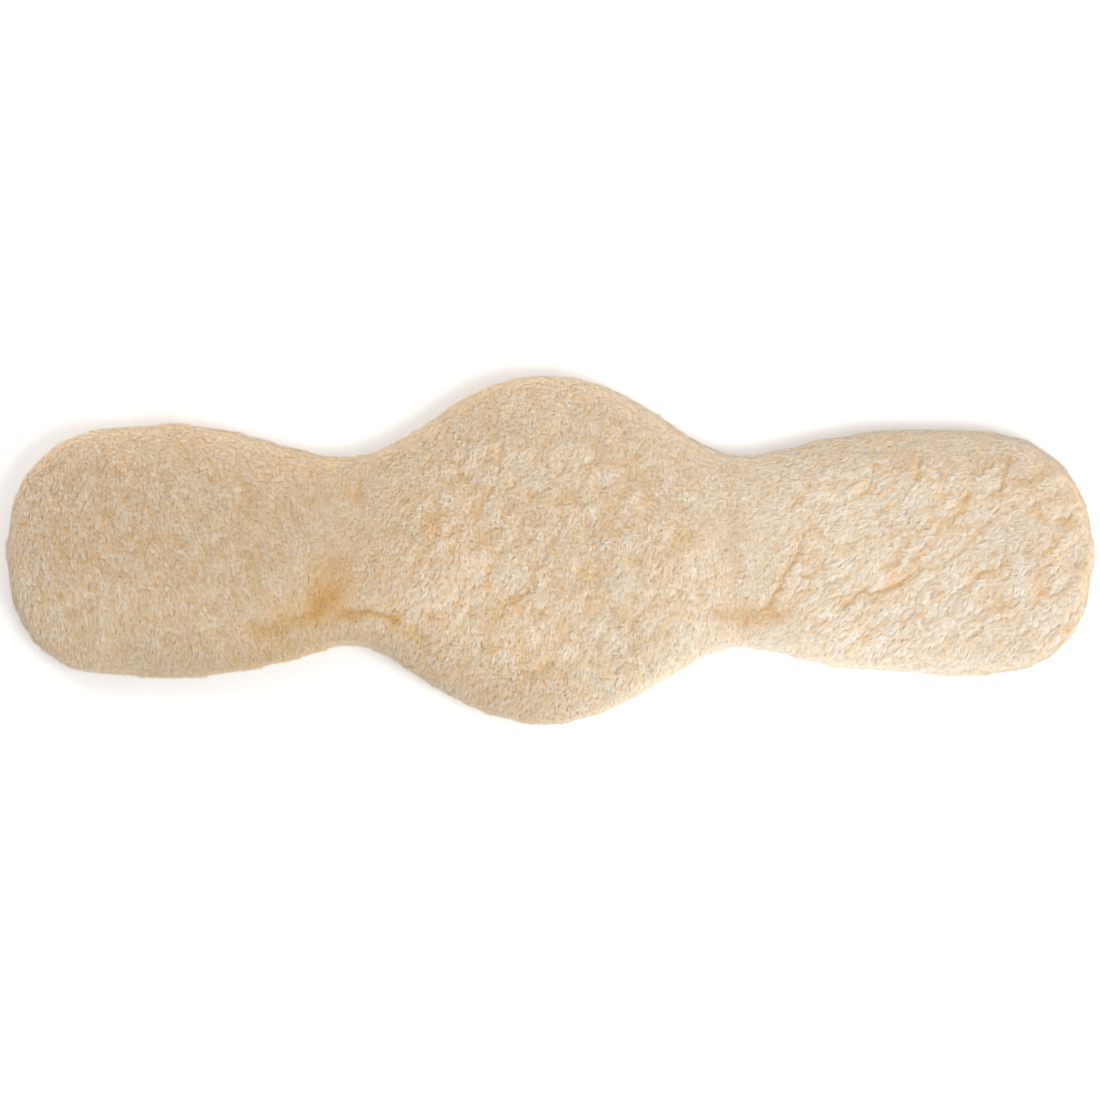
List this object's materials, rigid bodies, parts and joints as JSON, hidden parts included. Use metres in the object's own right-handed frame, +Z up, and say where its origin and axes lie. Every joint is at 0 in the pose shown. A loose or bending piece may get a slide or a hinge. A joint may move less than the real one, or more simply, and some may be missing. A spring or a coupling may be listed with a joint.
{
  "type": "saddle girth fleece liner",
  "caption": "Removable fleece liner for an anatomic saddle girth: broad middle, narrow folding waists, flared arms, hook tape back.",
  "frame": {"origin": "on the ground under the middle of the liner, lying flat with its fleece up", "axes": "+X along the liner to its right arm, +Y to its front edge, +Z up out of the fleece"},
  "size_m": [0.54, 0.174, 0.032],
  "materials": {
    "fleece": "matte",
    "foam": "matte",
    "backing": "matte",
    "binding": "satin",
    "hook_tape": "matte",
    "label": "satin"
  },
  "bodies": {
    "centre": {"fleece_centre": "fleece", "foam_core_centre": "foam", "backing_centre": "backing", "binding_centre_front": "binding", "binding_centre_rear": "binding", "hook_tape_centre_front": "hook_tape", "hook_tape_centre_rear": "hook_tape", "care_label": "label", "fleece_left_waist": "fleece", "backing_left_waist": "backing", "binding_left_waist_front": "binding", "binding_left_waist_rear": "binding", "fleece_right_waist": "fleece", "backing_right_waist": "backing", "binding_right_waist_front": "binding", "binding_right_waist_rear": "binding"},
    "left_arm": {"fleece_left_arm": "fleece", "foam_core_left_arm": "foam", "backing_left_arm": "backing", "binding_left_arm": "binding", "hook_tape_left_inner": "hook_tape", "hook_tape_left_outer": "hook_tape"},
    "right_arm": {"fleece_right_arm": "fleece", "foam_core_right_arm": "foam", "backing_right_arm": "backing", "binding_right_arm": "binding", "hook_tape_right_inner": "hook_tape", "hook_tape_right_outer": "hook_tape"}
  },
  "joints": [
    {"name": "left_waist_fold", "type": "hinge", "parent": "centre", "child": "left_arm", "pos_m": [-0.093, 0, 0.00255], "axis": [0, 1, 0], "range_deg": [0, 55], "deforming": ["fleece_left_waist", "backing_left_waist", "binding_left_waist_front", "binding_left_waist_rear"]},
    {"name": "right_waist_fold", "type": "hinge", "parent": "centre", "child": "right_arm", "pos_m": [0.093, 0, 0.00255], "axis": [0, -1, 0], "range_deg": [0, 55], "deforming": ["fleece_right_waist", "backing_right_waist", "binding_right_waist_front", "binding_right_waist_rear"]}
  ]
}
